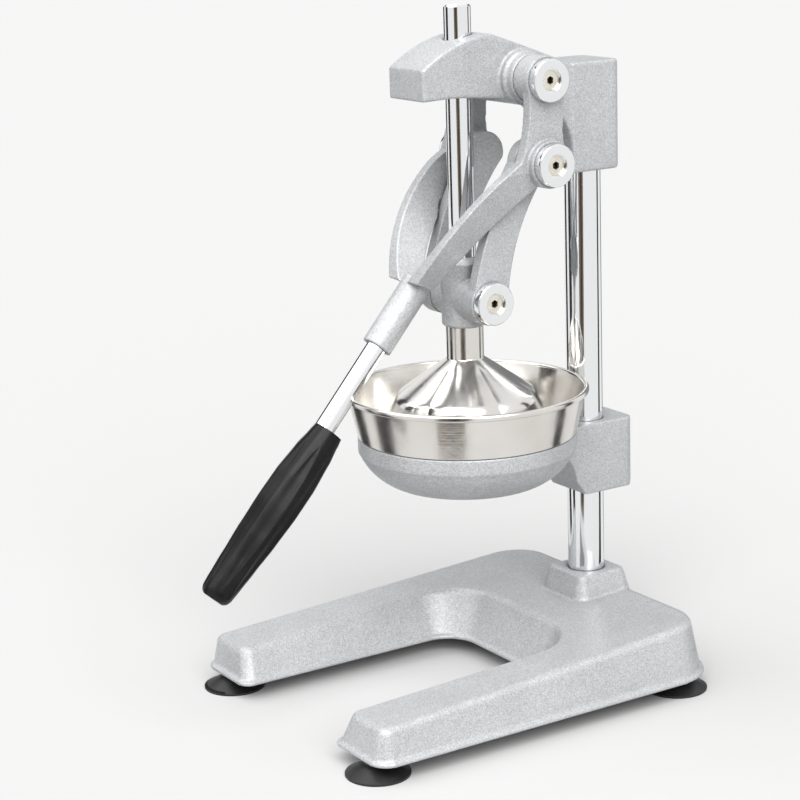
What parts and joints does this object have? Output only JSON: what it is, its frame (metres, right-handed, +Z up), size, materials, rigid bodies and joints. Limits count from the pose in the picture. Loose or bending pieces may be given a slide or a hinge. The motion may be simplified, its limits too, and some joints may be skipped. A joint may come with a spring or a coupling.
{
  "type": "hand-lever citrus press",
  "caption": "Free-standing hand-lever citrus press: horseshoe base on suction feet, column, lever and links that drive a dome into a bowl with a reamer.",
  "frame": {"origin": "on the table, under the middle of the press's box at rest", "axes": "+Z up, -Y towards the user and the handle, +X to the user's right when the user faces the press"},
  "size_m": [0.1942, 0.2768, 0.3872],
  "materials": {
    "casting": "cast aluminium with silver-grey hammer paint and a fine sparkle",
    "chrome": "bright chrome plate",
    "stainless": "polished stainless steel with fine spinning marks",
    "steel": "zinc-plated screw steel",
    "rubber": "soft black rubber, slightly glossy",
    "grip": "black satin moulded plastic with shallow flutes"
  },
  "bodies": {
    "frame": {"base": "casting", "bowl": "stainless", "bowl_holder": "casting", "column_bolt": "steel", "column_plug": "steel", "column_tube": "chrome", "column_washer": "steel", "foot_stud_front_left": "steel", "foot_stud_front_right": "steel", "foot_stud_rear_left": "steel", "foot_stud_rear_right": "steel", "head_casting": "casting", "head_grub": "steel", "head_pivot_screw_left": "steel", "head_pivot_screw_right": "steel", "head_pivot_sleeve_left": "chrome", "head_pivot_sleeve_right": "chrome", "holder_grub": "steel", "reamer": "stainless", "strainer": "stainless", "suction_cup_front_left": "rubber", "suction_cup_front_right": "rubber", "suction_cup_rear_left": "rubber", "suction_cup_rear_right": "rubber"},
    "lever": {"lever_fork": "casting", "handle_rod": "chrome", "grip": "grip", "crank_pivot_screw_left": "steel", "crank_pivot_screw_right": "steel", "crank_pivot_sleeve_left": "chrome", "crank_pivot_sleeve_right": "chrome"},
    "links": {"link_left": "casting", "link_right": "casting", "ram_pivot_screw_left": "steel", "ram_pivot_screw_right": "steel", "ram_pivot_sleeve_left": "chrome", "ram_pivot_sleeve_right": "chrome"},
    "ram": {"ram_body": "casting", "ram_rod": "chrome", "press_dome": "stainless", "dome_screw": "steel"}
  },
  "joints": [
    {"name": "lever_hinge", "type": "hinge", "parent": "frame", "child": "lever", "pos_m": [0, 0.06033, 0.347], "axis": [-1, 0, 0], "range_deg": [0, 110]},
    {"name": "ram_slide", "type": "slide", "parent": "frame", "child": "ram", "axis": [0, 0, 1], "range_m": [0, 0.05581]},
    {"name": "link_hinge", "type": "hinge", "parent": "lever", "child": "links", "pos_m": [0, 0.06033, 0.3018], "axis": [1, 0, 0], "range_deg": [0, 140.95]}
  ],
  "couplings": [
    {"joint": "ram_slide", "follows": "lever_hinge", "m_per_rad": 0.029069},
    {"joint": "link_hinge", "follows": "lever_hinge", "ratio": 1.2813}
  ]
}
